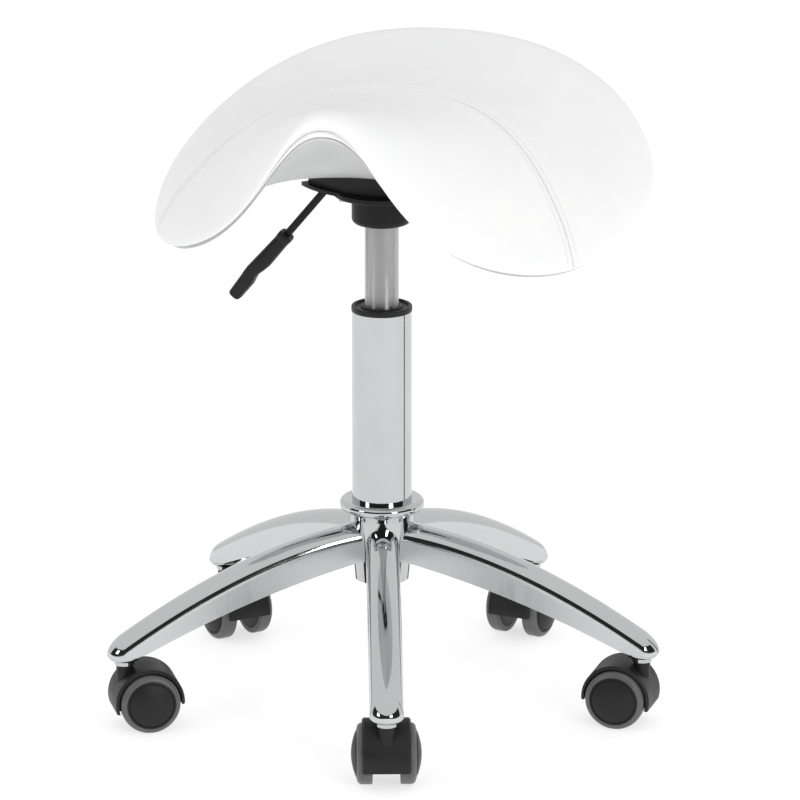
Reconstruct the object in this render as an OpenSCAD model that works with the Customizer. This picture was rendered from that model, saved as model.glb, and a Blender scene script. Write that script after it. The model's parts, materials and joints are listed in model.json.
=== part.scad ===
// Saddle stool on a five-leg caster base with a gas lift.
// Millimetres, +Z up. The origin is on the floor, on the column axis.
// Leg 1 points along -Y. The seat faces -Y, turned by seat_turn.

/* [Base] */
// Distance from the column axis to each caster stem
stem_circle_r = 225; // [215:1:235]
// Width of a leg
leg_w = 27.5; // [25:0.5:30]
// Thickness of the pressed steel of a leg
leg_wall = 2; // [1.5:0.1:2.5]
// Height of a leg's crest at the hub
leg_crest_h = 157; // [155:1:158]
// Radius of the hub's rolled rim
hub_rim_r = 35.5; // [33:0.5:37]

/* [Casters] */
// Wheel diameter
wheel_d = 50; // [48:1:50]
// Distance of the wheel axle behind the swivel axis
trail = 18; // [17:0.5:20]
// Half the gap between the two wheels
wheel_gap_half = 11.3; // [11.2:0.1:12]
// Half the overall width across both wheels, at the hub caps
wheel_half_w = 28.6; // [27:0.1:30]
// Width of the hood
hood_w = 39.4; // [36:0.2:42]
// Swivel of each caster from pointing straight at the hub
caster_turns = [0, 0, 8, -8, -6]; // [-180:1:180]

/* [Gas lift] */
// Diameter of the outer column
column_d = 50; // [50:1:50]
// Height of the top of the outer column
column_top = 338; // [330:1:345]
// Diameter of the sliding gas cylinder
cylinder_d = 28; // [28:0.5:28]
// Diameter of the piston rod
rod_d = 10; // [8:1:10]

/* [Seat] */
// Turn of the seat about the column, seen from above
seat_turn = -18.6; // [-180:0.1:180]
// Half the seat width at mid depth
seat_half_w = 203; // [190:1:210]
// Distance from the column axis to the front edge
seat_front = 158; // [150:1:165]
// Distance from the column axis to the back edge
seat_back = 212; // [200:1:220]
// Squareness of the outline, 2 is an ellipse
seat_corner = 2.25; // [2:0.05:3]
// How much wider the back is than the middle, as a share
seat_taper = 0.155; // [0:0.005:0.2]
// Height of the lowest point of the crest
dip_h = 514; // [510:1:520]
// Rise of the crest from the dip to the front edge
pommel_rise = 32; // [20:1:40]
// Rise of the crest from the dip to the back edge
cantle_rise = 22; // [10:1:30]
// Thickness of the cushion at its edge
cushion_edge = 18; // [16:1:22]
// Thickness of the cushion at the middle
cushion_mid = 40; // [36:1:44]

/* [Lever] */
// Slope of the lever below the horizontal
lever_slope = 50.4; // [48:0.2:53]
// Length of the grip
grip_len = 73; // [60:1:80]
// Thickness of the grip across its broad side
grip_w = 13; // [11:0.5:14]

/* [Hidden] */
$fn = 64;

leg_count = 5;
chrome = [0.8, 0.81, 0.83];
steel = [0.6, 0.61, 0.63];
black = [0.13, 0.13, 0.14];
grey = [0.36, 0.36, 0.37];
white = [0.93, 0.93, 0.92];

// ---- general helpers ----

// A closed solid from a list of point loops. Neighbouring loops are joined by
// triangles. The first and the last loop are closed by a fan to its middle.
// From loop number turn on, the triangles' diagonals run the other way, so that
// the lower face of one layer matches the upper face of the next.
module lofted(loops, turn = 1000) {
    n = len(loops[0]);
    m = len(loops);
    points = concat([for (loop = loops) each loop], [middle(loops[0]), middle(loops[m - 1])]);
    sides = [for (j = [0:m - 2], i = [0:n - 1])
        each quad(j * n, (j + 1) * n, i, (i + 1) % n, j >= turn)];
    first = [for (i = [0:n - 1]) [m * n, (i + 1) % n, i]];
    last = [for (i = [0:n - 1]) [m * n + 1, (m - 1) * n + i, (m - 1) * n + (i + 1) % n]];
    polyhedron(points, concat(sides, first, last), convexity = 8);
}

// The same, but the last loop joins the first, as on a ring.
module lofted_ring(loops) {
    n = len(loops[0]);
    m = len(loops);
    points = [for (loop = loops) each loop];
    sides = [for (j = [0:m - 1], i = [0:n - 1])
        each quad(j * n, ((j + 1) % m) * n, i, (i + 1) % n, false)];
    polyhedron(points, sides, convexity = 8);
}

function middle(loop) = [for (k = [0:2]) average([for (p = loop) p[k]])];
function average(v) = v * [for (i = v) 1] / len(v);
function quad(low, high, i, next, turned) = turned
    ? [[low + i, low + next, high + next], [low + i, high + next, high + i]]
    : [[low + i, low + next, high + i], [low + next, high + next, high + i]];
function signed_power(v, p) = sign(v) * pow(abs(v), p);
function clamp(v, low, high) = min(max(v, low), high);

// ---- base ----

hub_bottom = 106.6;
hub_top = 176.2;
hub_neck_h = 158;
hub_bottom_r = 22.4;
hub_neck_r = 27.1;
hub_wall = 2;
hub_rim_bead = 4.5;
column_r = column_d / 2;
column_foot_r = hub_bottom_r - hub_wall - 0.05;
column_foot_h = 108;
column_wall = 2.2;
column_floor_h = 111;

module hub() {
    bead_z = hub_top - hub_rim_bead;
    color(chrome) rotate_extrude() difference() {
        union() {
            polygon([[0, hub_bottom], [hub_bottom_r, hub_bottom], [hub_neck_r, hub_neck_h],
                each [for (a = [15:15:75]) hub_flare(a)],
                [hub_rim_r - hub_rim_bead, hub_top], [0, hub_top]]);
            translate([hub_rim_r - hub_rim_bead, bead_z]) circle(r = hub_rim_bead);
        }
        polygon([[0, hub_bottom - 1], [hub_bottom_r - hub_wall, hub_bottom - 1],
            [hub_bottom_r - hub_wall, hub_bottom], [column_r + 0.05, hub_neck_h],
            [column_r + 0.05, hub_top + 1], [0, hub_top + 1]]);
    }
}

// Point on the concave flare that opens from the hub's neck to its rim
function hub_flare(a) =
    [hub_neck_r + (hub_rim_r - hub_neck_r - 1) * (1 - cos(a)),
     hub_neck_h + (hub_top - hub_rim_bead - hub_neck_h) * sin(a)];

leg_root_r = 20;
leg_tip_r = 14.6;
leg_crest_fall = 0.00736;
leg_crest_power = 1.72;
leg_foot_h = 59.5;
leg_tip_steps = 6;
leg_arch_steps = 10;

function leg_crest(r) = leg_crest_h - leg_crest_fall * pow(r - 10, leg_crest_power);
function leg_under(r) = max(130 - 0.165 * r - 0.00068 * r * r, leg_foot_h);
function leg_angle(i) = 270 + 360 / leg_count * (i - 1);

// Stations along a leg: distance from the axis, half width and drop of the crest
// there. The tip is a ball on an upright round end.
function leg_stations(inset) = concat(
    [for (k = [0:10]) [leg_root_r - inset + k * (stem_circle_r - leg_root_r) / 10, leg_w / 2 - inset, 0]],
    [for (k = [1:leg_tip_steps]) let (a = 88 * k / leg_tip_steps, tip = leg_tip_r - inset)
        [stem_circle_r + tip * sin(a), min(leg_w / 2 - inset, tip * cos(a)), tip * (1 - cos(a))]]);

// Cross-section of a leg: straight sides and a round crest
function leg_section(r, half, crest, foot) = concat(
    [[r, -half, foot]],
    [for (k = [0:leg_arch_steps]) let (a = 180 - 180 * k / leg_arch_steps)
        [r, half * cos(a), crest - half + half * sin(a)]],
    [[r, half, foot]]);

// A leg is a pressed channel, open below and closed at its round tip.
module leg(i) {
    color(chrome) rotate([0, 0, leg_angle(i)]) difference() {
        lofted([for (s = leg_stations(0))
            leg_section(s[0], s[1], leg_crest(s[0]) - s[2], leg_under(s[0]))]);
        lofted([for (s = leg_stations(leg_wall))
            leg_section(s[0], s[1], leg_crest(s[0]) - s[2] - leg_wall, leg_under(s[0]) - 5)]);
        translate([0, 0, hub_bottom]) cylinder(h = hub_neck_h - hub_bottom,
            r1 = hub_bottom_r + 0.05, r2 = hub_neck_r + 0.05, $fn = 96);
    }
}

module each_leg() {
    for (i = [1:leg_count]) rotate([0, 0, leg_angle(i)]) translate([stem_circle_r, 0, 0]) children();
}

stem_r = 5.5;
stem_low = 33;
stem_top = 72;
groove_low = 62;
groove_high = 65;
socket_low = 54.5;
socket_top = 71;
socket_flange_h = 60;
socket_r = 8.4;
socket_bore_r = stem_r + 0.05;

module caster_sockets() {
    color(chrome) each_leg() rotate_extrude() polygon([[socket_bore_r, socket_low],
        [socket_r - 0.8, socket_low], [socket_r, socket_low + 0.8], [socket_r, socket_flange_h],
        [leg_w / 2 - leg_wall - 0.05, socket_flange_h],
        [leg_w / 2 - leg_wall - 0.05, socket_flange_h + 2],
        [socket_r, socket_flange_h + 2], [socket_r, socket_top], [socket_bore_r, socket_top]]);
}

module caster_stems() {
    color(steel) each_leg() rotate_extrude() polygon([[0, stem_low], [stem_r, stem_low],
        [stem_r, groove_low], [stem_r - 1, groove_low], [stem_r - 1, groove_high],
        [stem_r, groove_high], [stem_r, stem_top - 1], [stem_r - 1, stem_top], [0, stem_top]]);
}

// Split spring ring that holds the stem in its socket
module grip_rings() {
    color(steel) each_leg() translate([0, 0, groove_low + 0.1]) difference() {
        cylinder(h = groove_high - groove_low - 0.2, r = socket_bore_r);
        translate([0, 0, -1]) cylinder(h = 5, r = stem_r - 1);
        translate([0, -0.8, -1]) cube([10, 1.6, 5]);
    }
}

// ---- casters ----

wheel_r = wheel_d / 2;
axle_r = 3;
axle_half = 24;
cap_r = 20.5;
cap_seat = 24;
hood_r = wheel_r + 4;
hood_inner_r = wheel_r + 1.5;
hood_edge = 1.5;
hood_skirt_h = 20;
hood_skirt_rise = 6;
web_low = 21;
web_half = wheel_gap_half - 0.5;
neck_r = 7;
neck_top = socket_low - 0.3;

// Puts a caster's own frame at leg i: stem on Z, wheels towards +X
module at_caster(i) {
    rotate([0, 0, leg_angle(i)]) translate([stem_circle_r, 0, 0])
        rotate([0, 0, 180 + caster_turns[i - 1]]) children();
}

// Puts a shape's own Z axis on the axle, pointing to the left wheel
module on_axle() {
    translate([trail, 0, wheel_r]) rotate([-90, 0, 0]) children();
}

// Everything of the hood is above a plane that rises slightly backwards
module below_skirt() {
    translate([trail, 0, hood_skirt_h]) rotate([0, -hood_skirt_rise, 0])
        translate([-45, -30, -40]) cube([90, 60, 40]);
}

module hood(i) {
    half = hood_w / 2;
    color(black) at_caster(i) difference() {
        union() {
            on_axle() rotate_extrude() polygon([[hood_inner_r, -half], [hood_r - hood_edge, -half],
                [hood_r, hood_edge - half], [hood_r, half - hood_edge],
                [hood_r - hood_edge, half], [hood_inner_r, half]]);
            on_axle() cylinder(h = 2 * web_half, r = hood_inner_r + 0.5, center = true);
            translate([0, 0, web_low]) cylinder(h = neck_top - web_low, r = neck_r);
        }
        below_skirt();
        translate([0, 0, stem_low - 1]) cylinder(h = 40, r = socket_bore_r);
        on_axle() cylinder(h = 60, r = axle_r, center = true);
    }
}

module axle(i) {
    color(steel) at_caster(i) on_axle() cylinder(h = 2 * axle_half, r = axle_r, center = true);
}

// Hub cap and core of one wheel, side is 1 for left and -1 for right
module core(i, side) {
    dome_h = wheel_half_w - cap_seat;
    dome_r = (cap_r * cap_r + dome_h * dome_h) / (2 * dome_h);
    color(black) at_caster(i) on_axle() mirror([0, 0, side > 0 ? 0 : 1]) difference() {
        union() {
            translate([0, 0, wheel_gap_half]) cylinder(h = cap_seat - wheel_gap_half, r = cap_r);
            intersection() {
                translate([0, 0, cap_seat + dome_h - dome_r]) sphere(r = dome_r);
                translate([0, 0, cap_seat]) cylinder(h = dome_h + 1, r = cap_r);
            }
        }
        translate([0, 0, wheel_gap_half - 1]) cylinder(h = axle_half + 2 - wheel_gap_half, r = axle_r + 0.05);
    }
}

module tyre(i, side) {
    shoulder = wheel_r - cap_r;
    color(grey) at_caster(i) on_axle() mirror([0, 0, side > 0 ? 0 : 1]) rotate_extrude() union() {
        translate([cap_r, wheel_gap_half]) square([shoulder - 1, cap_seat - shoulder - wheel_gap_half]);
        translate([cap_r, wheel_gap_half + 1]) square([shoulder, cap_seat - shoulder - wheel_gap_half - 1]);
        translate([wheel_r - 1, wheel_gap_half + 1]) circle(r = 1, $fn = 32);
        intersection() {
            translate([cap_r, cap_seat - shoulder]) circle(r = shoulder);
            translate([cap_r, cap_seat - shoulder]) square(shoulder);
        }
    }
}

// ---- gas lift ----

cylinder_r = cylinder_d / 2;
cylinder_low = 200;
cylinder_top = 444;
cylinder_tip_r = cylinder_r - 1;
cylinder_wall = 2;
rod_r = rod_d / 2;
rod_low = 103;
piston_low = 292;
piston_high = 304;
bush_low = 262;
cap_h = 4.5;
bracket_low = 412.7;

module outer_column() {
    color(chrome) rotate_extrude() polygon([[rod_r + 0.05, column_foot_h],
        [column_foot_r, column_foot_h], [column_r - 0.05, hub_neck_h], [column_r, hub_top + 0.8],
        [column_r, column_top],
        [column_r - column_wall, column_top], [column_r - column_wall, hub_neck_h],
        [column_foot_r - column_wall, column_floor_h], [rod_r + 0.05, column_floor_h]]);
}

module column_cap() {
    color(black) translate([0, 0, column_top]) rotate_extrude() polygon([[cylinder_r + 0.3, 0],
        [column_r, 0], [column_r, cap_h - 1], [column_r - 1, cap_h], [cylinder_r + 0.3, cap_h]]);
}

module guide_bush() {
    color(white) translate([0, 0, bush_low]) difference() {
        cylinder(h = column_top - bush_low - 0.1, r = column_r - column_wall - 0.05);
        translate([0, 0, -1]) cylinder(h = 100, r = cylinder_r + 0.06);
    }
}

module thrust_washer() {
    color(steel) translate([0, 0, column_floor_h]) difference() {
        cylinder(h = 2, r = 13);
        translate([0, 0, -1]) cylinder(h = 4, r = rod_r + 0.3);
    }
}

// Ball race and its cap on the rod
module thrust_bearing() {
    color(steel) translate([0, 0, column_floor_h + 2.05]) difference() {
        cylinder(h = 6, r = 12);
        translate([0, 0, -1]) cylinder(h = 8, r = rod_r);
        translate([0, 0, 2]) difference() {
            cylinder(h = 1.5, r = 13);
            translate([0, 0, -1]) cylinder(h = 4, r = 10.5);
        }
    }
}

module piston_rod() {
    color(steel) rotate_extrude() polygon([[0, rod_low], [rod_r - 1, rod_low], [rod_r, rod_low + 1],
        [rod_r, 105.4], [rod_r - 1, 105.4], [rod_r - 1, 106.8], [rod_r, 106.8],
        [rod_r, piston_high], [0, piston_high]]);
}

module rod_clip() {
    color(steel) translate([0, 0, 105.5]) difference() {
        cylinder(h = 1.2, r = 8);
        translate([0, 0, -1]) cylinder(h = 4, r = rod_r - 1);
        translate([0, -2.5, -1]) cube([10, 5, 4]);
    }
}

module piston() {
    color(black) translate([0, 0, piston_low]) difference() {
        cylinder(h = piston_high - piston_low, r = cylinder_r - cylinder_wall - 0.1);
        translate([0, 0, -1]) cylinder(h = 20, r = rod_r);
    }
}

valve_r = 3;
valve_low = 432;
valve_top = 449.1;

module gas_cylinder() {
    bore = cylinder_r - cylinder_wall;
    color(steel) rotate_extrude() polygon([[bore, cylinder_low], [cylinder_r, cylinder_low],
        [cylinder_r, bracket_low], [cylinder_tip_r, cylinder_top], [valve_r + 0.05, cylinder_top],
        [valve_r + 0.05, cylinder_top - 8], [bore, cylinder_top - 14]]);
}

module rod_gland() {
    color(black) translate([0, 0, cylinder_low + 1]) difference() {
        cylinder(h = 14, r = cylinder_r - cylinder_wall - 0.02);
        translate([0, 0, -1]) cylinder(h = 20, r = rod_r + 0.05);
    }
}

module valve_pin() {
    color(steel) union() {
        translate([0, 0, valve_low]) cylinder(h = valve_top - valve_low - 1, r = valve_r);
        translate([0, 0, valve_top - 1]) cylinder(h = 1, r1 = valve_r, r2 = valve_r - 1.4);
    }
}

// ---- seat bracket and lever ----

flange_top = 442;
flange_t = 3;
flange_half_len = 69.4;
flange_half_w = 32;
dish_r = 40;
dish_low = 436.5;
collar_r = 24.8;
collar_round = 4.5;
boss_wall_r = 20;
pivot_x = -28;
pivot_z = 452.5;
pivot_r = 2.5;
ear_in = 4.3;
ear_out = 7.3;
bolt_x = 27;
bolt_y = 14;
bolt_r = 3;
pan_pad_h = 466.5;
lever_r = 3.2;
lever_bend_x = -35.3;
grip_start = 72.8;

module in_seat() {
    rotate([0, 0, seat_turn]) children();
}

module at_bolts() {
    for (x = [-bolt_x, bolt_x], y = [-bolt_y, bolt_y]) translate([x, y, 0]) children();
}

// Pointed oval between two arcs
module flange_outline() {
    arc_r = (pow(flange_half_len, 2) + pow(flange_half_w, 2)) / (2 * flange_half_w);
    intersection() {
        translate([0, arc_r - flange_half_w]) circle(r = arc_r, $fn = 180);
        translate([0, flange_half_w - arc_r]) circle(r = arc_r, $fn = 180);
    }
}

module seat_bracket() {
    color(black) in_seat() difference() {
        union() {
            translate([0, 0, flange_top - flange_t]) linear_extrude(flange_t) flange_outline();
            rotate_extrude() union() {
                translate([0, dish_low]) square([dish_r - 2, flange_top - dish_low - 1]);
                translate([0, dish_low + 2]) square([dish_r, flange_top - dish_low - 3]);
                translate([dish_r - 2, dish_low + 2]) circle(r = 2, $fn = 32);
                translate([0, bracket_low + collar_round])
                    square([collar_r, dish_low - bracket_low - collar_round + 1]);
                translate([0, bracket_low]) square([collar_r - collar_round, 10]);
                translate([collar_r - collar_round, bracket_low + collar_round])
                    circle(r = collar_round, $fn = 48);
            }
            translate([0, 0, dish_low]) cylinder(h = cylinder_top - dish_low, r = boss_wall_r);
            for (s = [-1, 1]) translate([pivot_x - 6, s * (ear_in + ear_out) / 2 - 1.5, flange_top - 1])
                cube([12, ear_out - ear_in, pivot_z + 6 - flange_top + 1]);
        }
        translate([0, 0, bracket_low]) cylinder(h = cylinder_top - bracket_low,
            r1 = cylinder_r + 0.02, r2 = cylinder_tip_r + 0.02, $fn = 96);
        translate([0, 0, bracket_low - 1]) cylinder(h = 1.1, r = cylinder_r + 0.02, $fn = 96);
        at_bolts() translate([0, 0, dish_low - 1]) cylinder(h = 20, r = bolt_r);
        translate([pivot_x, 0, pivot_z]) rotate([90, 0, 0]) cylinder(h = 30, r = pivot_r, center = true);
        translate([-56, -4.2, dish_low - 1]) cube([20, 8.4, 20]);
    }
}

module lever_pin() {
    color(steel) in_seat() translate([pivot_x, 0, pivot_z]) rotate([90, 0, 0])
        cylinder(h = 2 * ear_out + 1, r = pivot_r, center = true);
}

module bracket_bolts() {
    color(steel) in_seat() at_bolts() {
        translate([0, 0, dish_low]) cylinder(h = 26, r = bolt_r);
        translate([0, 0, dish_low - 4]) difference() {
            cylinder(h = 4, r = 5);
            translate([0, 0, -1]) cylinder(h = 3.5, r = 2.5, $fn = 6);
        }
    }
}

module pan_standoffs() {
    color(steel) in_seat() at_bolts() translate([0, 0, flange_top]) difference() {
        cylinder(h = pan_pad_h - flange_top, r = 6);
        translate([0, 0, -1]) cylinder(h = 40, r = bolt_r);
    }
}

// Frame of the lever's sloping part: origin at the bend, +X down along the rod
module down_lever() {
    translate([lever_bend_x, 0, pivot_z]) rotate([0, 180 - lever_slope, 0]) children();
}

module lever_rod() {
    color(black) in_seat() difference() {
        union() {
            translate([lever_bend_x, 0, pivot_z]) rotate([0, 90, 0])
                cylinder(h = 4 - lever_bend_x, r = lever_r, $fn = 48);
            translate([lever_bend_x, 0, pivot_z]) sphere(r = lever_r, $fn = 48);
            down_lever() rotate([0, 90, 0]) cylinder(h = grip_start + 30, r = lever_r, $fn = 48);
            translate([pivot_x, 0, pivot_z]) rotate([90, 0, 0]) cylinder(h = 8, r = 6, center = true);
        }
        translate([pivot_x, 0, pivot_z]) rotate([90, 0, 0])
            cylinder(h = 20, r = pivot_r + 0.05, center = true);
    }
}

// Flat rounded paddle with a slight knee, over the rod's end
module lever_grip() {
    knee = grip_len * 0.6;
    half = grip_w / 2;
    color(black) in_seat() down_lever() difference() {
        union() {
            hull() {
                grip_slice(grip_start, half, half * 0.8, 0);
                grip_slice(grip_start + knee, half * 1.1, half * 0.9, 0);
            }
            hull() {
                grip_slice(grip_start + knee, half * 1.1, half * 0.9, 0);
                grip_slice(grip_start + grip_len - 3, half * 1.15, half * 0.7, 2.5);
            }
        }
        rotate([0, 90, 0]) cylinder(h = grip_start + 30, r = lever_r, $fn = 48);
    }
}

// Rounded cross-section of the grip, half_y across and half_z thick
module grip_slice(x, half_y, half_z, drop) {
    for (s = [-1, 1]) translate([x, s * (half_y - half_z + 1), drop]) rotate([0, 90, 0])
        cylinder(h = 3, r = half_z, $fn = 32);
}

// ---- seat shell and cushion ----

seat_mid = (seat_back - seat_front) / 2;
seat_half_depth = (seat_back + seat_front) / 2;
dip_y = 75;
flank_drop = 236;
flank_drop_gain = 0.7;
flank_reach = 260;
flank_reach_gain = 1.25;
flank_power = 2.3;
edge_roll = 24;
edge_tuck = 6;
pan_edge = 5;
pan_mid = 8;
cover_t = 2.2;
layer_gap = 0.3;
under_mid = 78;
outline_steps = 64;
opening_half_len = 58;
opening_half_w = 26;

// Height of the seat's top surface over a point of the plan
function crest_h(y) = y < dip_y
    ? dip_h + pommel_rise * pow((y - dip_y) / (seat_front + dip_y), 2)
    : dip_h + cantle_rise * pow((y - dip_y) / (seat_back - dip_y), 2);
function flank(x, y) = (flank_drop + flank_drop_gain * y)
    * (1 - exp(-pow(abs(x) / max(flank_reach + flank_reach_gain * y, 30), flank_power)));
function seat_top(x, y) = crest_h(y) - flank(x, y);

// Seat outline at angle a, moved inwards by inset
function outline(a, inset) = let (q = signed_power(sin(a), 2 / seat_corner))
    [(seat_half_w - inset) * signed_power(cos(a), 2 / seat_corner) * (1 + seat_taper * q),
     seat_mid + (seat_half_depth - inset) * q];
function share(a, inset, f) = let (p = outline(a, inset)) [p[0] * f, seat_mid + (p[1] - seat_mid) * f];
function depth_share(f) = pow(max(1 - f * f, 0), 1.5);

// Depths of the layers below the top surface, at share f of the way to the edge
function cushion_depth(f) = cushion_edge + (cushion_mid - cushion_edge) * depth_share(f);
function pan_depth(f) = cushion_depth(f) + layer_gap + pan_edge + (pan_mid - pan_edge) * depth_share(f);
edge_stack = cushion_edge + pan_edge + cover_t + 2 * layer_gap;
function under_depth(f) = edge_stack + (under_mid - edge_stack) * depth_share(f);

// A loop of points at share f, with depth and any extra drop below the top
function loop_at(inset, f, depth) = [for (k = [0:outline_steps - 1])
    let (p = share(360 * k / outline_steps, inset, f)) [p[0], p[1], seat_top(p[0], p[1]) - depth]];

// Shares at which the layers have their loops, from the middle to the edge
layer_shares = [0.06, 0.16, 0.28, 0.4, 0.55, 0.7, 0.82, 0.92, 1];
layer_count = len(layer_shares);
roll_angles = [0:18:90];
tuck_angles = [30:30:90];

module seat_cushion() {
    top = [for (k = [0:layer_count - 2]) loop_at(edge_roll, layer_shares[k], 0)];
    roll = [for (a = roll_angles)
        loop_at(edge_roll * (1 - sin(a)), 1, 0.65 * cushion_edge * (1 - cos(a)))];
    tuck = [for (a = tuck_angles)
        loop_at(edge_tuck * (1 - cos(a)), 1, cushion_edge * (0.65 + 0.35 * sin(a)))];
    under = [for (k = [layer_count - 2:-1:0])
        loop_at(edge_tuck, layer_shares[k], cushion_depth(layer_shares[k]))];
    color(white) in_seat() lofted(concat(top, roll, tuck, under),
        len(top) + len(roll) + len(tuck) - 1);
}

// The pan's lower face is level where the standoffs meet it
function pan_under(p, f) = let (
    low = seat_top(p[0], p[1]) - pan_depth(f),
    blend = clamp((85 - norm(p)) / 35, 0, 1))
    low + (pan_pad_h - low) * blend;
function pan_under_loop(f) = [for (k = [0:outline_steps - 1])
    let (p = share(360 * k / outline_steps, edge_tuck, f)) [p[0], p[1], pan_under(p, f)]];

module seat_pan() {
    top = [for (f = layer_shares) loop_at(edge_tuck, f, cushion_depth(f) + layer_gap)];
    under = [for (k = [layer_count - 1:-1:0]) pan_under_loop(layer_shares[k])];
    color(white) in_seat() lofted(concat(top, under), layer_count);
}

cover_start = 0.28;
cover_full = 0.7;

// Point of the cover's plan: on the oval opening at share cover_start, and on
// the same lines as the other layers from share cover_full outwards
function cover_point(a, f) = let (w = clamp((f - cover_start) / (cover_full - cover_start), 0, 1))
    [opening_half_len * cos(a), opening_half_w * sin(a)] * (1 - w) + share(a, edge_tuck, f) * w;

// Share of the way from the middle of the seat to its edge
function edge_share(p) = let (
    x = abs(p[0]) / ((seat_half_w - edge_tuck) * (1 + seat_taper * (p[1] - seat_mid) / seat_half_depth)),
    y = abs(p[1] - seat_mid) / (seat_half_depth - edge_tuck))
    min(pow(pow(x, seat_corner) + pow(y, seat_corner), 1 / seat_corner), 1);

// Lower face of the cover, level around the bracket
function cover_under(p) = let (
    low = seat_top(p[0], p[1]) - under_depth(edge_share(p)),
    away = max(norm([p[0] / 92, p[1] / 50]) - 1, 0))
    max(low, flange_top + layer_gap - 60 * away);

function cover_loop(f, lift) = [for (k = [0:outline_steps - 1])
    let (p = cover_point(360 * k / outline_steps, f)) [p[0], p[1], cover_under(p) + lift]];

module under_cover() {
    shares = [for (f = layer_shares) if (f >= cover_start) f];
    color(white) in_seat() lofted_ring(concat(
        [for (f = shares) cover_loop(f, cover_t)],
        [for (k = [len(shares) - 1:-1:0]) cover_loop(shares[k], 0)]));
}

// ---- nodes ----

hub();
leg(1);  // leg_1
leg(2);  // leg_2
leg(3);  // leg_3
leg(4);  // leg_4
leg(5);  // leg_5
caster_sockets();
caster_stems();
grip_rings();
outer_column();
column_cap();
guide_bush();
thrust_washer();
thrust_bearing();
piston_rod();
rod_clip();
piston();
gas_cylinder();
rod_gland();
valve_pin();
seat_bracket();
lever_pin();
bracket_bolts();
pan_standoffs();
seat_pan();
under_cover();
seat_cushion();
lever_rod();
lever_grip();
hood(1);  // hood_1
axle(1);  // axle_1
core(1, 1);  // core_left_1
tyre(1, 1);  // tyre_left_1
core(1, -1);  // core_right_1
tyre(1, -1);  // tyre_right_1
hood(2);  // hood_2
axle(2);  // axle_2
core(2, 1);  // core_left_2
tyre(2, 1);  // tyre_left_2
core(2, -1);  // core_right_2
tyre(2, -1);  // tyre_right_2
hood(3);  // hood_3
axle(3);  // axle_3
core(3, 1);  // core_left_3
tyre(3, 1);  // tyre_left_3
core(3, -1);  // core_right_3
tyre(3, -1);  // tyre_right_3
hood(4);  // hood_4
axle(4);  // axle_4
core(4, 1);  // core_left_4
tyre(4, 1);  // tyre_left_4
core(4, -1);  // core_right_4
tyre(4, -1);  // tyre_right_4
hood(5);  // hood_5
axle(5);  // axle_5
core(5, 1);  // core_left_5
tyre(5, 1);  // tyre_left_5
core(5, -1);  // core_right_5
tyre(5, -1);  // tyre_right_5
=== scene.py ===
"""Looks of the saddle stool: camera, light, materials and the detailed pieces."""

import json
import math

import bpy
import numpy as np
from mathutils import Matrix, Vector


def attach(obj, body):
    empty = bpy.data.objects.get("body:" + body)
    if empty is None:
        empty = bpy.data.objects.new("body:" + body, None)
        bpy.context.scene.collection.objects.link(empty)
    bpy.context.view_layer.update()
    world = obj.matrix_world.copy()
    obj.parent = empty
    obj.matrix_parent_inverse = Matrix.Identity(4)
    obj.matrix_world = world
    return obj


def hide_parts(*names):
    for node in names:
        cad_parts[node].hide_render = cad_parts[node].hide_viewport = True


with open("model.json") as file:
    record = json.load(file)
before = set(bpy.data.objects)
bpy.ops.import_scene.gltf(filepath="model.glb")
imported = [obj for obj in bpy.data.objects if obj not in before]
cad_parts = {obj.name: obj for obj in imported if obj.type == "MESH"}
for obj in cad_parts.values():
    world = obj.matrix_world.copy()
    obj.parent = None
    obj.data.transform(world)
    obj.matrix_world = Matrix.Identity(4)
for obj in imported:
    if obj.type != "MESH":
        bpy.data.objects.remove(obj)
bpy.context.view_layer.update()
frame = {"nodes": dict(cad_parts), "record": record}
NODES = frame["nodes"]
MM = 0.001

# ---------------------------------------------------------------- seat shape
# The same surface as the CAD seat, in millimetres in the seat's own frame.
SEAT_TURN = math.radians(-18.6)
HALF_W, FRONT, BACK = 203.0, 158.0, 212.0
CORNER, TAPER = 2.25, 0.155
DIP_H, DIP_Y, POMMEL, CANTLE = 514.0, 75.0, 32.0, 22.0
DROP, DROP_GAIN, REACH, REACH_GAIN, POWER = 236.0, 0.7, 260.0, 1.25, 2.3
EDGE, MID_T = 18.0, 40.0  # cushion's depth at its edge and in the middle
ROLL, TUCK = 24.0, 6.0  # how far the rim rolls over and tucks under
MID_Y = (BACK - FRONT) / 2
HALF_D = (BACK + FRONT) / 2
SEAM_Y, SEAM_BOW = 50.5, 130.0
STITCH_OFF = 5.2  # each row of stitches to the seam
ROW_END = 0.9985  # share of the outline where the rows of stitches end
UV_SHIFT = 0.5  # keeps the stored seam distance, in metres, above zero


def seat_top(x, y):
    """Height of the seat's top surface over the plan point x, y."""
    span = np.where(y < DIP_Y, FRONT + DIP_Y, BACK - DIP_Y)
    rise = np.where(y < DIP_Y, POMMEL, CANTLE)
    crest = DIP_H + rise * ((y - DIP_Y) / span) ** 2
    reach = np.maximum(REACH + REACH_GAIN * y, 30)
    return crest - (DROP + DROP_GAIN * y) * (1 - np.exp(-((np.abs(x) / reach) ** POWER)))


def spow(v, p):
    """Power that keeps the sign."""
    return np.sign(v) * np.abs(v) ** p


def outline(a, inset):
    """Plan points of the seat's outline at angles a, moved inwards."""
    q = spow(np.sin(a), 2 / CORNER)
    x = (HALF_W - inset) * spow(np.cos(a), 2 / CORNER) * (1 + TAPER * q)
    return x, MID_Y + (HALF_D - inset) * q


def oval(u, v):
    """1 on the outline's curve, less inside it, for shares u and v of its half sizes."""
    return (np.abs(u) ** CORNER + np.abs(v) ** CORNER) ** (1 / CORNER)


def plan(a, inset, f):
    """The same points, shrunk to share f of the way from the seat's middle."""
    x, y = outline(a, inset)
    return x * f, MID_Y + (y - MID_Y) * f


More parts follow.
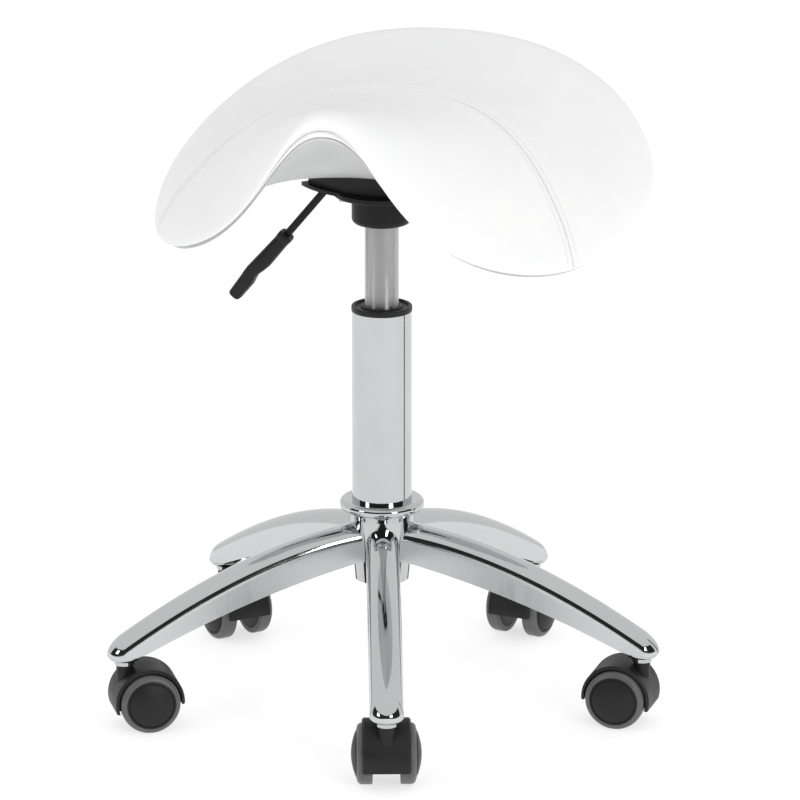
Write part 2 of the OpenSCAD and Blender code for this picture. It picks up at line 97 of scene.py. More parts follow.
def depth_share(f):
    """How much of the extra depth in the middle is left at share f."""
    return max(1 - f * f, 0) ** 1.5


def cushion_depth(f):
    return EDGE + (MID_T - EDGE) * depth_share(f)


def seam_y(x):
    """Plan line of the bowed cross seam."""
    return SEAM_Y - SEAM_BOW * (x / HALF_W) ** 2


def seam_slope(x):
    return -2 * SEAM_BOW * x / HALF_W**2


def seam_distance(x, y):
    """Distance in the plan from the cross seam, positive behind it."""
    slope = seam_slope(x)
    return (y - seam_y(x)) / np.sqrt(1 + slope * slope)


# -------------------------------------------------------------- mesh helpers
def to_row(points, turn=0.0):
    """Millimetres to metres, turned about the column's axis."""
    p = np.asarray(points, float) * MM
    c, s = math.cos(turn), math.sin(turn)
    return np.stack([p[:, 0] * c - p[:, 1] * s, p[:, 0] * s + p[:, 1] * c, p[:, 2]], 1)


def mesh_object(name, points, faces, sharp=None):
    mesh = bpy.data.meshes.new(name)
    mesh.from_pydata([tuple(p) for p in points], [], faces)
    mesh.update()
    mesh.shade_smooth()
    if sharp:
        mesh.set_sharp_from_angle(angle=math.radians(sharp))
    obj = bpy.data.objects.new(name, mesh)
    bpy.context.scene.collection.objects.link(obj)
    return obj


def ring_faces(n, m, closed_loop=False, base=0):
    """Quads between m rings of n points; closed_loop joins the last to the first."""
    faces = []
    for j in range(m if closed_loop else m - 1):
        lo, hi = base + j * n, base + ((j + 1) % m) * n
        faces += [(lo + i, hi + i, hi + (i + 1) % n, lo + (i + 1) % n) for i in range(n)]
    return faces


def rings_object(name, rings, turn=0.0, caps=True, closed_loop=False, sharp=None):
    """A surface through rings of points, each counter-clockwise seen from its start."""
    rings = [np.asarray(r, float) for r in rings]
    n, m = len(rings[0]), len(rings)
    points = np.concatenate(rings)
    faces = ring_faces(n, m, closed_loop)
    if caps and not closed_loop:
        points = np.vstack([points, rings[0].mean(0), rings[-1].mean(0)])
        faces += [(m * n, i, (i + 1) % n) for i in range(n)]
        last = (m - 1) * n
        faces += [(m * n + 1, last + (i + 1) % n, last + i) for i in range(n)]
    return mesh_object(name, to_row(points, turn), faces, sharp)


def turned(name, profile, steps=96, sharp=30, place=None):
    """A lathe piece about Z from (radius, height) pairs in mm.

    The profile is a closed loop if it ends where it starts.
    """
    a = np.linspace(0, 2 * math.pi, steps, endpoint=False)
    c, s = np.cos(a), np.sin(a)
    rings = [np.stack([r * c, r * s, np.full_like(a, z)], 1) for r, z in profile]
    closed = profile[0] == profile[-1]
    if closed:
        rings = rings[:-1]
    obj = rings_object(name, rings[::-1], caps=not closed, closed_loop=closed, sharp=sharp)
    if place is not None:
        obj.data.transform(place)
    return obj


def write_uv(obj, name, u, v):
    """Store two values for each vertex as a UV layer that a material can read."""
    loops = np.zeros(len(obj.data.loops), int)
    obj.data.loops.foreach_get("vertex_index", loops)
    co = np.stack([u[loops], v[loops]], 1).astype(np.float32)
    obj.data.uv_layers.new(name=name).data.foreach_set("uv", co.ravel())


def finish_piece(obj, material, body, slot, *nodes):
    """Give the piece its material, the CAD nodes it stands for and its body; slot is not used."""
    obj.data.materials.clear()
    obj.data.materials.append(material)
    if nodes:
        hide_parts(*nodes)
    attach(obj, body)
    return obj


# ----------------------------------------------------------------- materials
class Shader:
    """Short way to build a node material."""

    def __init__(self, name, **sockets):
        self.mat = bpy.data.materials.new(name)
        self.mat.use_nodes = True
        self.tree = self.mat.node_tree
        self.bsdf = self.tree.nodes["Principled BSDF"]
        for key, value in sockets.items():
            self.bsdf.inputs[key.replace("_", " ")].default_value = value

    def node(self, kind, **settings):
        made = self.tree.nodes.new("ShaderNode" + kind)
        for key, value in settings.items():
            setattr(made, key, value)
        return made

    def link(self, out, target):
        self.tree.links.new(out, target)

    def put(self, target, value):
        if isinstance(value, bpy.types.NodeSocket):
            self.link(value, target)
        else:
            target.default_value = value

    def math(self, op, a, b=0.0):
        n = self.node("Math", operation=op)
        self.put(n.inputs[0], a)
        self.put(n.inputs[1], b)
        return n.outputs[0]

    def coords(self):
        return self.node("TexCoord").outputs["Object"]

    def noise(self, scale, detail=3.0, rough=0.5, stretch=None):
        vec = self.coords()
        if stretch:
            m = self.node("Mapping")
            m.inputs["Scale"].default_value = stretch
            self.link(vec, m.inputs["Vector"])
            vec = m.outputs[0]
        n = self.node("TexNoise")
        n.inputs["Scale"].default_value = scale
        n.inputs["Detail"].default_value = detail
        n.inputs["Roughness"].default_value = rough
        self.link(vec, n.inputs["Vector"])
        return n.outputs["Fac"]

    def cells(self, scale):
        n = self.node("TexVoronoi", feature="DISTANCE_TO_EDGE")
        n.inputs["Scale"].default_value = scale
        self.link(self.coords(), n.inputs["Vector"])
        return n.outputs["Distance"]

    def ramp(self, fac, low, high, start=0.0, end=1.0):
        n = self.node("MapRange")
        self.put(n.inputs["Value"], fac)
        n.inputs["From Min"].default_value = start
        n.inputs["From Max"].default_value = end
        n.inputs["To Min"].default_value = low
        n.inputs["To Max"].default_value = high
        return n.outputs[0]

    def mix(self, fac, a, b):
        n = self.node("Mix", data_type="RGBA")
        self.put(n.inputs[0], fac)
        self.put(n.inputs[6], a)
        self.put(n.inputs[7], b)
        return n.outputs[2]

    def bump(self, height, strength, distance, under=None):
        n = self.node("Bump")
        n.inputs["Strength"].default_value = strength
        n.inputs["Distance"].default_value = distance
        self.link(height, n.inputs["Height"])
        if under is not None:
            self.link(under, n.inputs["Normal"])
        self.link(n.outputs[0], self.bsdf.inputs["Normal"])
        return n.outputs[0]

    def layer(self, name):
        """First value of a UV layer."""
        xy = self.node("SeparateXYZ")
        self.link(self.node("UVMap", uv_map=name).outputs[0], xy.inputs[0])
        return xy.outputs[0]

    def set(self, name, value):
        self.put(self.bsdf.inputs[name], value)


def shade(color, factor):
    return tuple(c * factor for c in color[:3]) + (1,)


def chrome(name, color, rough_low, rough_high):
    """Polished chrome: faint smudges in the roughness and a very slight waviness."""
    s = Shader(name, Metallic=1.0)
    smudge = s.noise(28.0, 4.0, 0.6)
    s.set("Roughness", s.ramp(smudge, rough_low, rough_high, 0.35, 0.7))
    s.set("Base Color", s.mix(s.ramp(smudge, 0, 1, 0.4, 0.8), color, shade(color, 0.93)))
    s.bump(s.noise(9.0, 1.0, 0.4), 0.05, 0.0006)
    return s.mat


def leg_chrome(color):
    """Chrome that is polished on the crest and lightly brushed on the flat sides."""
    s = Shader("leg_chrome", Metallic=1.0)
    wall = s.layer("finish")
    smudge = s.noise(30.0, 4.0, 0.6)
    brush = s.noise(420.0, 3.0, 0.65, (1, 1, 0.06))
    side = s.math("MULTIPLY", wall, s.ramp(brush, 0.24, 0.34, 0.3, 0.7))
    s.set("Roughness", s.math("ADD", side, s.ramp(smudge, 0.04, 0.09, 0.35, 0.7)))
    crest_tone = s.mix(smudge, color, shade(color, 0.93))
    side_tone = s.mix(brush, color, shade(color, 1.07))
    s.set("Base Color", s.mix(wall, crest_tone, side_tone))
    s.bump(s.noise(9.0, 1.0, 0.4), 0.05, 0.0006)
    return s.mat


def plastic(name, color, rough, scale=900.0, depth=0.00012):
    """Moulded plastic: spark-eroded grain, slight shine variation and lighter scuffs."""
    s = Shader(name, Specular_IOR_Level=0.28)
    patch = s.noise(40.0, 4.0, 0.6)
    light = tuple(min(c * 1.35 + 0.002, 1) for c in color[:3]) + (1,)
    s.set("Base Color", s.mix(s.ramp(patch, 0, 1, 0.35, 0.75), color, light))
    s.set("Roughness", s.ramp(patch, rough - 0.05, rough + 0.08, 0.3, 0.7))
    s.bump(s.noise(scale, 2.0, 0.6), 0.35, depth)
    return s.mat


def brushed(name, color, rough):
    """Ground steel with fine marks round it, so highlights spread along it."""
    s = Shader(name, Metallic=1.0, Anisotropic=0.9, Anisotropic_Rotation=0.25)
    tangent = s.node("Tangent", direction_type="RADIAL", axis="Z")
    s.link(tangent.outputs[0], s.bsdf.inputs["Tangent"])
    rings = s.noise(500.0, 3.0, 0.6, (0.02, 0.02, 1))
    s.set("Base Color", s.mix(s.ramp(rings, 0, 1, 0.3, 0.7), color, shade(color, 0.96)))
    s.set("Roughness", s.ramp(rings, rough - 0.02, rough + 0.02, 0.3, 0.7))
    s.bump(rings, 0.01, 0.00005)
    return s.mat


def metal(name, color, rough):
    """Plated or turned steel with fine rubbing marks."""
    s = Shader(name, Metallic=1.0)
    rub = s.noise(60.0, 5.0, 0.6, (1, 1, 14))
    s.set("Base Color", s.mix(s.ramp(rub, 0, 1, 0.3, 0.7), color, shade(color, 0.8)))
    s.set("Roughness", s.ramp(rub, rough - 0.06, rough + 0.1, 0.3, 0.7))
    s.bump(rub, 0.08, 0.0002)
    return s.mat


def tread():
    """Grey polyurethane tread: satin, with dust in faint bands."""
    s = Shader("grey_tread", Specular_IOR_Level=0.5)
    dust = s.noise(70.0, 5.0, 0.65)
    clean, dusty = (0.078, 0.078, 0.080, 1), (0.108, 0.108, 0.109, 1)
    s.set("Base Color", s.mix(s.ramp(dust, 0, 1, 0.35, 0.75), clean, dusty))
    s.set("Roughness", s.ramp(dust, 0.3, 0.46, 0.3, 0.7))
    s.bump(s.noise(1400.0, 2.0, 0.5), 0.2, 0.00008)
    return s.mat


def vinyl():
    """White coated vinyl: fine pebble grain, the cross seam's fold with painted shade darkening
    it, and its rows of holes.
    """
    s = Shader("white_vinyl", Specular_IOR_Level=0.42)
    d = s.math("ABSOLUTE", s.math("SUBTRACT", s.layer("seat"), UV_SHIFT))
    fold = s.ramp(d, 0, 1, 0.0, 0.0011)
    row = s.math("ABSOLUTE", s.math("SUBTRACT", d, STITCH_OFF * MM))
    trench = s.ramp(row, 0.45, 1, 0.0, 0.0010)
    pebble = s.ramp(s.cells(1500.0), 0, 1, 0.0, 0.22)
    cloudy = s.noise(26.0, 3.0, 0.55)
    white, cool = (0.86, 0.86, 0.857, 1), (0.84, 0.842, 0.844, 1)
    tone = s.mix(s.ramp(cloudy, 0, 1, 0.35, 0.7), white, cool)
    # Painted shade: the colour is blended towards grey within about a millimetre of the seam,
    # darkening its fold.
    seam_painted_shade = s.ramp(d, 0.72, 1.0, 0.0, 0.0009)
    s.set("Base Color", s.mix(seam_painted_shade, (0.42, 0.42, 0.42, 1), tone))
    s.set("Roughness", s.ramp(cloudy, 0.40, 0.5, 0.3, 0.7))
    first = s.bump(s.math("MINIMUM", fold, trench), 0.9, 0.0007)
    second = s.bump(pebble, 0.16, 0.00012, first)
    s.bump(s.noise(300.0, 3.0, 0.6), 0.12, 0.00018, second)
    return s.mat


def shell(name, color, dark, rough):
    """Moulded white shell with a faint orange-peel surface."""
    s = Shader(name, Specular_IOR_Level=0.45)
    tone = s.noise(18.0, 3.0, 0.5)
    s.set("Base Color", s.mix(s.ramp(tone, 0, 1, 0.35, 0.7), color, dark))
    s.set("Roughness", s.ramp(tone, rough - 0.04, rough + 0.06, 0.3, 0.7))
    s.bump(s.noise(420.0, 2.0, 0.5), 0.12, 0.0002)
    return s.mat


def make_materials():
    return {
        "chrome": chrome("chrome", (0.56, 0.565, 0.57, 1), 0.04, 0.09),
        "leg_chrome": leg_chrome((0.60, 0.605, 0.61, 1)),
        "satin_chrome": brushed("satin_chrome", (0.5, 0.5, 0.505, 1), 0.4),
        "zinc_steel": metal("zinc_steel", (0.62, 0.63, 0.65, 1), 0.32),
        "black_steel": plastic("black_steel", (0.0035, 0.0035, 0.0037, 1), 0.42, 600.0, 0.0001),
        "black_plastic": plastic("black_plastic", (0.010, 0.010, 0.0105, 1), 0.44),
        "nylon": plastic("nylon", (0.8, 0.79, 0.76, 1), 0.5, 500.0),
        "grey_tread": tread(),
        "white_vinyl": vinyl(),
        "white_shell": shell("white_shell", (0.86, 0.86, 0.855, 1), (0.82, 0.82, 0.82, 1), 0.4),
        # Painted shade: the cover's colours are set darker than the white shell's, standing in for
        # the shade under the seat.
        "white_cover": shell("white_cover", (0.60, 0.602, 0.605, 1), (0.56, 0.563, 0.566, 1), 0.5),
        "thread": shell("thread", (0.93, 0.93, 0.925, 1), (0.86, 0.86, 0.86, 1), 0.6),
    }


def dress_nodes(mats):
    """Every CAD node that stays gets its procedural material."""
    slots = {p["node"]: p["material_slot"] for p in frame["record"]["subparts"]}
    for name, obj in NODES.items():
        slot = slots[name]
        key = "satin_chrome" if name in ("gas_cylinder", "piston_rod") else slot
        obj.data.materials.clear()
        obj.data.materials.append(mats[key])


# ------------------------------------------------------------------- cushion
AROUND = 320
ANGLES = np.linspace(0, 2 * math.pi, AROUND, endpoint=False)
SIDE_DROP = 0.65 * EDGE  # part of the edge's depth above its widest line


def puff(x, y):
    """The padding swells beside the seam and sinks at its fold."""
    d = seam_distance(x, y)
    return 0.9 * np.exp(-((np.abs(d) - 11) / 8) ** 2) - 1.1 * np.exp(-((d / 3.2) ** 2))


def cushion_rings():
    """Top, rolled rim, tucked lower edge and underside, from the top's middle."""
    rings = []

    def add(inset, f, depth, swell=1.0):
        x, y = plan(ANGLES, inset, f)
        rings.append(np.stack([x, y, seat_top(x, y) - depth + swell * puff(x, y)], 1))

    for f in np.linspace(0.012, 1, 72)[:-1]:
        add(ROLL, f, 0)
    for th in np.radians(np.linspace(0, 90, 15)):
        swell = math.cos(th) * 0.8 + 0.2
        add(ROLL * (1 - math.sin(th)), 1, SIDE_DROP * (1 - math.cos(th)), swell)
    for th in np.radians(np.linspace(0, 90, 9)[1:]):
        depth = SIDE_DROP + (EDGE - SIDE_DROP) * math.sin(th)
        add(TUCK * (1 - math.cos(th)), 1, depth, 0.2 * math.cos(th))
    for f in np.linspace(1, 0.03, 24)[1:]:
        add(TUCK, f, cushion_depth(f), 0)
    return rings


def build_cushion(mats):
    rings = cushion_rings()
    obj = rings_object("cushion", rings, SEAT_TURN)
    points = np.vstack(rings + [rings[0].mean(0), rings[-1].mean(0)])
    d = seam_distance(points[:, 0], points[:, 1]) * MM + UV_SHIFT
    write_uv(obj, "seat", d, points[:, 0] * MM)
    finish_piece(obj, mats["white_vinyl"], "seat_lift", "white_vinyl", "seat_cushion")
    return obj


def rim_share(x, y):
    """How far a plan point is from the middle, 1 where the rim's roll begins."""
    q = (y - MID_Y) / (HALF_D - ROLL)
    w = (HALF_W - ROLL) * (1 + TAPER * np.clip(q, -1.1, 1.1))
    return oval(x / w, q)


def surface_at(x, y):
    """Height of the visible cushion at a plan point, with the roll at its rim."""
    z = seat_top(x, y)
    f = rim_share(x, y)
    q = (y - MID_Y) / HALF_D
    full = oval(x / (HALF_W * (1 + TAPER * q)), q)
    s = np.clip((f - 1) / np.maximum(f / np.maximum(full, 1e-6) - 1, 1e-6), 0, 1)
    th = np.arcsin(s)
    return z - SIDE_DROP * (1 - np.cos(th)) + puff(x, y) * (0.8 * np.cos(th) + 0.2)


def stitch_path(offset):
    """Closely spaced points along a row beside the seam."""
    x = np.linspace(-HALF_W + 2, HALF_W - 2, 9001)
    slope = seam_slope(x)
    norm = np.sqrt(1 + slope * slope)
    px = x - offset * slope / norm
    py = seam_y(x) + offset / norm
    q = (py - MID_Y) / HALF_D
    keep = oval(px / (HALF_W * (1 + TAPER * q)), q) < ROW_END
    px, py = px[keep], py[keep]
    return np.stack([px, py, surface_at(px, py)], 1)


STITCH_PITCH, THREAD_R, THREAD_SIDES = 4.0, 0.42, 6


def capsule(start, stop, up, radius, sides):
    """One stitch: a short thread that dips into the vinyl at both ends."""
    along = stop - start
    side = np.cross(along, up)
    side /= np.linalg.norm(side)
    end, flank, middle = (0.35, -0.35), (0.9, 0.02), (1.0, 0.16)
    spine = zip((0.0, 0.14, 0.5, 0.86, 1.0), (end, flank, middle, flank, end))
    rings = []
    for t, (r, lift) in spine:
        c = start + along * t + up * lift * radius * 2
        ang = np.linspace(0, 2 * math.pi, sides, endpoint=False)
        round_it = np.outer(np.cos(ang), side) + np.outer(np.sin(ang), up)
        rings.append(c + radius * r * round_it)
    return rings


def build_stitches(mats):
    points, faces = [], []
    for offset in (-STITCH_OFF, STITCH_OFF):
        path = stitch_path(offset)
        run = np.concatenate([[0], np.cumsum(np.linalg.norm(np.diff(path, axis=0), axis=1))])
        count = int(run[-1] / STITCH_PITCH)
        for k in range(count):
            a, b = (k + 0.1) * run[-1] / count, (k + 0.9) * run[-1] / count
            s = np.array([np.interp(a, run, path[:, i]) for i in range(3)])
            e = np.array([np.interp(b, run, path[:, i]) for i in range(3)])
            n = seat_normal(*((s + e) / 2)[:2])
            rings = capsule(s, e, n, THREAD_R, THREAD_SIDES)
            faces += ring_faces(THREAD_SIDES, len(rings), base=len(points) * THREAD_SIDES)
            points += rings
    obj = mesh_object("seat_stitching", to_row(np.concatenate(points), SEAT_TURN), faces)
    return finish_piece(obj, mats["thread"], "seat_lift", "white_vinyl")


def seat_normal(x, y):
    h = 0.5
    dx = (surface_at(x + h, y) - surface_at(x - h, y)) / (2 * h)
    dy = (surface_at(x, y + h) - surface_at(x, y - h)) / (2 * h)
    n = np.array([-float(dx), -float(dy), 1.0])
    return n / np.linalg.norm(n)


# ------------------------------------------------------- shell under the seat
# The visible cover lies a little higher in the middle than the CAD's.
PAN_T, COVER_T, GAP, UNDER_MID = 5.0, 2.2, 0.3, 70.0
FLANGE_TOP, COVER_LEVEL = 442.0, 449.0
FLANGE_L, FLANGE_W = 69.4, 32.0
LEVEL_L, LEVEL_W, LEVEL_FALL = 92, 50, 60  # oval level part, and its slope outside
OPEN_L, OPEN_W = 58.0, 26.0


def build_pan(mats):
    """The white shell between cushion and cover; its rounded edge shows all round."""
    rings = []
    for f in np.linspace(0.3, 1, 24)[:-1]:
        x, y = plan(ANGLES, TUCK + 1, f)
        rings.append(np.stack([x, y, seat_top(x, y) - cushion_depth(f) - GAP], 1))
    for th in np.radians(np.linspace(-90, 90, 11)):
        x, y = outline(ANGLES, TUCK + 1 + 1.6 * (1 - math.cos(th)))
        deep = EDGE + GAP + PAN_T * (0.5 + 0.5 * math.sin(th))
        rings.append(np.stack([x, y, seat_top(x, y) - deep], 1))
    for f in np.linspace(1, 0.3, 24)[1:]:
        x, y = plan(ANGLES, TUCK + 1, f)
        depth = cushion_depth(f) + GAP + PAN_T + 3.0 * depth_share(f)
        rings.append(np.stack([x, y, seat_top(x, y) - depth], 1))
    obj = rings_object("shell_edge", rings, SEAT_TURN)
    return finish_piece(obj, mats["white_shell"], "seat_lift", "white_shell", "seat_pan")


def edge_share(x, y):
    """How far a plan point is from the seat's middle, 1 at the cover's rim."""
    w = (HALF_W - TUCK) * (1 + TAPER * (y - MID_Y) / HALF_D)
    return np.minimum(oval(x / w, (y - MID_Y) / (HALF_D - TUCK)), 1)


def cover_under(x, y):
    """Lower face of the cover: level around the bracket, then following the seat."""
    stack = EDGE + PAN_T + COVER_T + 2 * GAP
    f = edge_share(x, y)
    low = seat_top(x, y) - stack - (UNDER_MID - stack) * np.maximum(1 - f * f, 0) ** 1.5
    away = np.maximum(np.hypot(x / LEVEL_L, y / LEVEL_W) - 1, 0)
    return np.maximum(low, COVER_LEVEL - LEVEL_FALL * away)


def build_cover(mats):
    """Smooth cover under the shell, from its rim to the opening for the mechanism."""
    ex, ey = outline(ANGLES, TUCK + 2)
    shares = np.linspace(0, 1, 60)
    rings = []

    def add(s, lift):
        x = OPEN_L * np.cos(ANGLES) * (1 - s) + ex * s
        y = OPEN_W * np.sin(ANGLES) * (1 - s) + ey * s
        rings.append(np.stack([x, y, cover_under(x, y) + lift], 1))

    for s in shares:
        add(s, COVER_T)
    for s in shares[::-1]:
        add(s, 0)
    obj = rings_object("lower_cover", rings, SEAT_TURN, closed_loop=True, sharp=50)
    # The cover's darker colour is painted shade under the seat.
    return finish_piece(obj, mats["white_cover"], "seat_lift", "white_cover", "under_cover")


def build_black_gap_fill(mats):
    """Black piece that fills the wedge between the bracket's flange and the rising cover, so that
    gap shows black.
    """
    half_l, half_w = FLANGE_L - 6, FLANGE_W - 3
    x = half_l * np.cos(ANGLES)
    y = np.sign(np.sin(ANGLES)) * half_w * (1 - (x / half_l) ** 2)
    rings = []
    for grow, share in ((0, 0), (0, 0.5), (0, 1), (-3, 1), (-3, 0.5), (-3, 0)):
        k = 1 + grow / FLANGE_W
        top = cover_under(x * k, y * k) + 0.6
        rings.append(np.stack([x * k, y * k, FLANGE_TOP - 0.1 + (top - FLANGE_TOP) * share], 1))
    obj = rings_object("black_gap_fill", rings[::-1], SEAT_TURN, closed_loop=True, sharp=40)
    return finish_piece(obj, mats["black_plastic"], "seat_lift", "black_plastic")


# ---------------------------------------------------------------------- legs
LEG_HALF, LEG_WALL, TIP_R, STEM_R = 13.75, 2.0, 14.6, 225.0
TIP_FALL = 0.5  # share of a full ball that the crest falls at the tip
HUB_R, HUB_LOW, HUB_SPREAD = 22.4, 106.6, 4.7 / 51.4  # the hub's cone
LEG_ROOT, HUB_BITE = 24, 1.0  # first section's place, and how deep it sits in the cone
FOOT_LIFT, LIFT_START, LIFT_RUN = 3.2, 209, 14
WALL_STEPS, ARCH_STEPS = 7, 25


def leg_turn(i):
    """Turn from a leg along +X to leg i; leg 1 points to the front."""
    return Matrix.Rotation(math.radians(270 + 72 * (i - 1)), 4, "Z")


def leg_place(i):
    """From an upright axis at the origin to the caster stem's axis in leg i."""
    return leg_turn(i) @ Matrix.Translation((STEM_R * MM, 0, 0))


def leg_crest(r):
    """Height of the leg's crest at distance r from the column's axis."""
    return 157 - 0.00736 * np.maximum(r - 10, 0) ** 1.72


def leg_under(r):
    """Height of the leg's lower edge there."""
    return np.maximum(130 - 0.165 * r - 0.00068 * r * r, 59.5)


def leg_foot(r):
    """Lower edge of the leg, lifted at the tip to make room for the rounded socket."""
    t = np.clip((r - LIFT_START) / LIFT_RUN, 0, 1)
    return leg_under(r) + FOOT_LIFT * t * t * (3 - 2 * t)


def leg_ring(r, half, drop, foot, root=None):
    """Round-topped section; at the root its points lie on the hub's cone."""
    a = np.radians(np.linspace(180, 0, ARCH_STEPS))
    crest = leg_crest(r) - drop
    side = np.full(WALL_STEPS, half)
    y = np.concatenate([-side, half * np.cos(a)[1:-1], side])
    wall = np.linspace(foot, crest - half, WALL_STEPS)
    z = np.concatenate([wall, crest - half + half * np.sin(a)[1:-1], wall[::-1]])
    x = np.full_like(y, float(r))
    if root is not None:
        hub = HUB_R + (z - HUB_LOW) * HUB_SPREAD - root
        x = np.sqrt(np.maximum(hub * hub - y * y, 1))
    return np.stack([x, y, z], 1)


def leg_rings(inset):
    """Sections from the hub outwards, ending in a rounded top on an upright round end."""
    half = LEG_HALF - inset
    rings = [leg_ring(LEG_ROOT, half, inset, leg_foot(LEG_ROOT), HUB_BITE)]
    for r in np.linspace(31, STEM_R, 40):
        rings.append(leg_ring(r, half, inset, leg_foot(r)))
    tip = TIP_R - inset
    for t in np.radians(np.linspace(0, 88, 19)[1:]):
        r = STEM_R + tip * math.sin(t)
        fall = inset + TIP_FALL * tip * (1 - math.cos(t))
        rings.append(leg_ring(r, min(half, tip * math.cos(t)), fall, leg_foot(r)))
    return rings


def wall_share(n):
    """1 on a section's straight sides, 0 on its round crest."""
    k = np.minimum(np.arange(n), n - 1 - np.arange(n))
    return np.clip((8.5 - k) / 3, 0, 1)


def leg_mesh(name):
    outer, inner = leg_rings(0), leg_rings(LEG_WALL)
    n, m = len(outer[0]), len(outer)
    points = np.concatenate(outer + inner)
    faces = []
    for j in range(m - 1):
        for i in range(n - 1):
            a, b = j * n + i, (j + 1) * n + i
            faces.append((a, a + 1, b + 1, b))
            faces.append((m * n + a, m * n + b, m * n + b + 1, m * n + a + 1))
        for i in (0, n - 1):
            a, b = j * n + i, (j + 1) * n + i
            q = (a, b, m * n + b, m * n + a)
            faces.append(q if i == 0 else q[::-1])
    for base, flip in ((0, False), (m * n, True)):
        last = base + (m - 1) * n
        f = tuple(last + i for i in range(n))
        faces.append(f[::-1] if flip else f)
    obj = mesh_object(name, points * MM, faces, 38)
    write_uv(obj, "finish", np.tile(wall_share(n), 2 * m), points[:, 0] * MM)
    return obj


SOCKET_LOW = 54.5


def build_tip_sockets(mats):
    """Rounded underside of each leg tip, with the collar that the stem turns in."""
    curve = [(LEG_HALF - 0.05 - 2.6 * (1 - math.cos(t)), 62.9 - 3.5 * math.sin(t))
             for t in np.radians(np.linspace(0, 90, 10))]
    collar = [(9.2, 59.1), (8.5, 58.6), (8.4, 58), (8.4, SOCKET_LOW + 0.8), (7.6, SOCKET_LOW)]
    inside = [(5.6, SOCKET_LOW), (5.6, 64), (LEG_HALF - 2.2, 64), (LEG_HALF - 0.3, 63.4)]
    profile = curve + collar + inside
    for i in range(1, 6):
        obj = turned("tip_socket_%d" % i, profile + [profile[0]], place=leg_place(i))
        finish_piece(obj, mats["chrome"], "base", "chrome")


def build_legs(mats):
    for i in range(1, 6):
        obj = leg_mesh("star_leg_%d" % i)
        obj.data.transform(leg_turn(i))
        finish_piece(obj, mats["leg_chrome"], "base", "chrome", "leg_%d" % i)


# ------------------------------------------------------------------- casters
TRAIL, AXLE_H, CAP_R = 18.0, 25.0, 20.5
GAP_HALF, CAP_SEAT, WHEEL_HALF, WHEEL_R = 11.3, 24.0, 28.6, 25.0
CASTER_TURNS = (0, 0, 8, -8, -6)


def wheel_place(i, side):
    """From a lathe shape about Z, outwards along +Z, to one wheel of caster i."""
    swivel = Matrix.Rotation(math.radians(180 + CASTER_TURNS[i - 1]), 4, "Z")
    upright = Matrix.Rotation(math.radians(-90 * side), 4, "X")
    axle = Matrix.Translation((TRAIL * MM, 0, AXLE_H * MM)) @ upright
    return leg_place(i) @ swivel @ axle


def arc(cx, cz, r, start, end, count):
    """Points of a lathe profile on an arc, from start to end degrees."""
    turns = np.radians(np.linspace(start, end, count))
    return [(cx + r * math.cos(t), cz + r * math.sin(t)) for t in turns]


def crown_h(r):
    """Height of the crowned wheel cap at radius r."""
    return WHEEL_HALF - (WHEEL_HALF - CAP_SEAT) * (r / CAP_R) ** 2


def wheel_cap_profile():
    """Crowned cap with a thin groove near its edge."""
    crown = [(r, crown_h(r)) for r in np.linspace(0.01, 17.9, 14)]
    depths = ((18.1, 0.2), (18.4, 0.7), (18.8, 0.7), (19.1, 0.1))
    groove = [(r, crown_h(r) - deep) for r, deep in depths]
    rim = [(19.4, crown_h(19.4)), (20.1, crown_h(20.1)), (CAP_R - 0.1, CAP_SEAT - 0.2)]
    bore = GAP_HALF + 0.8
    inner = [(CAP_R - 0.1, GAP_HALF + 0.6), (CAP_R - 0.7, GAP_HALF), (7, GAP_HALF)]
    return (crown + groove + rim + inner + [(6.4, bore), (3.1, bore)])[::-1]


def tread_profile():
    """Tyre with a full outer shoulder and a small inner one."""
    shoulder, small = WHEEL_R - CAP_R - 0.1, 1.2
    out = arc(CAP_R + 0.1, CAP_SEAT - shoulder, shoulder, 90, 0, 13)
    back = arc(WHEEL_R - small, GAP_HALF + small, small, 0, -90, 6)
    profile = out + back + [(CAP_R + 0.02, GAP_HALF + 0.3), (CAP_R + 0.02, CAP_SEAT - 0.1)]
    return (profile + [profile[0]])[::-1]


def build_wheels(mats):
    for i in range(1, 6):
        for side, word in ((1, "left"), (-1, "right")):
            body = "wheel_%s_%d" % (word, i)
            place = wheel_place(i, side)
            core, tyre = "core_%s_%d" % (word, i), "tyre_%s_%d" % (word, i)
            cap = turned("cap_%s_%d" % (word, i), wheel_cap_profile(), 96, 25, place)
            finish_piece(cap, mats["black_plastic"], body, "black_plastic", core)
            ring = turned("tread_%s_%d" % (word, i), tread_profile(), 96, 40, place)
            finish_piece(ring, mats["grey_tread"], body, "grey_tread", tyre)


# ------------------------------------------------------------ lever and cap
GRIP_START, GRIP_LEN, LEVER_SLOPE = 72.8, 73.0, 50.4
LEVER_BEND_X, LEVER_H, GRIP_END = -35.3, 452.5, 0.97
CAP_H, CAP_BORE = 338.0, 14.3


